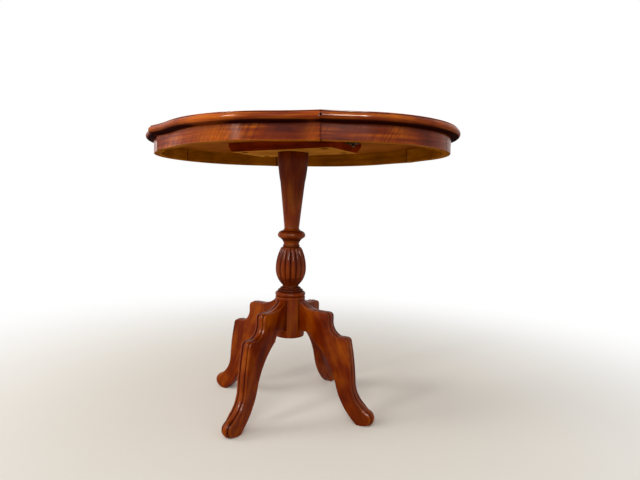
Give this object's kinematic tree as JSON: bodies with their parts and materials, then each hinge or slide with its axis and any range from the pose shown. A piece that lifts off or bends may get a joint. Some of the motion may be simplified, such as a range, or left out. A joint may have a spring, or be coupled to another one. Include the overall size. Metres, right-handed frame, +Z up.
{
  "type": "tilt top table",
  "caption": "Pedestal table with a lobed oval top, moulded edge and skirt, on a turned reeded pillar with sabre legs; the top tips up on pins and is held by a slide bolt.",
  "frame": {"origin": "on the floor, on the pillar's axis", "axes": "+X along the length of the top, towards the catch; +Y across the top, towards the back; +Z up"},
  "size_m": [0.828, 0.6408, 0.7],
  "materials": {
    "veneered_top": "gloss lacquered veneer",
    "polished_edge": "gloss lacquer",
    "veneered_skirt": "gloss lacquered ribbon veneer, raw inside",
    "bearer_wood": "thinly stained, dull",
    "plain_hardwood": "unfinished",
    "polished_pillar": "gloss lacquer, dark in the hollows",
    "polished_leg": "gloss lacquer, dark in the grooves",
    "steel_screws": "dull steel",
    "steel_pins": "turned steel",
    "aged_brass": "dull aged brass",
    "brass_screws": "dull aged brass"
  },
  "bodies": {
    "stand": {"pillar": "polished_pillar", "pivot_block": "bearer_wood", "tenon_wedge": "plain_hardwood", "pivot_pins": "steel_pins", "keeper_plate": "aged_brass", "keeper_screws": "brass_screws", "leg_right": "polished_leg", "leg_back": "polished_leg", "leg_left": "polished_leg", "leg_front": "polished_leg", "leg_dowels": "plain_hardwood"},
    "top": {"top_panel": "veneered_top", "edge_right": "polished_edge", "edge_back": "polished_edge", "edge_left": "polished_edge", "edge_front": "polished_edge", "skirt_front": "veneered_skirt", "skirt_back": "veneered_skirt", "skirt_left_front": "veneered_skirt", "skirt_left_back": "veneered_skirt", "skirt_right_front": "veneered_skirt", "skirt_right_back": "veneered_skirt", "bearer_front": "bearer_wood", "bearer_back": "bearer_wood", "bearer_screws": "steel_screws", "catch_case": "aged_brass", "catch_screws": "brass_screws"},
    "bolt": {"catch_bolt": "aged_brass", "catch_knob": "aged_brass"}
  },
  "joints": [
    {"name": "top_tilt", "type": "hinge", "parent": "stand", "child": "top", "pos_m": [-0.13515, 0, 0.66685], "axis": [0, -1, 0], "range_deg": [0, 90]},
    {"name": "bolt_slide", "type": "slide", "parent": "top", "child": "bolt", "axis": [1, 0, 0], "range_m": [-0.007, 0]}
  ]
}
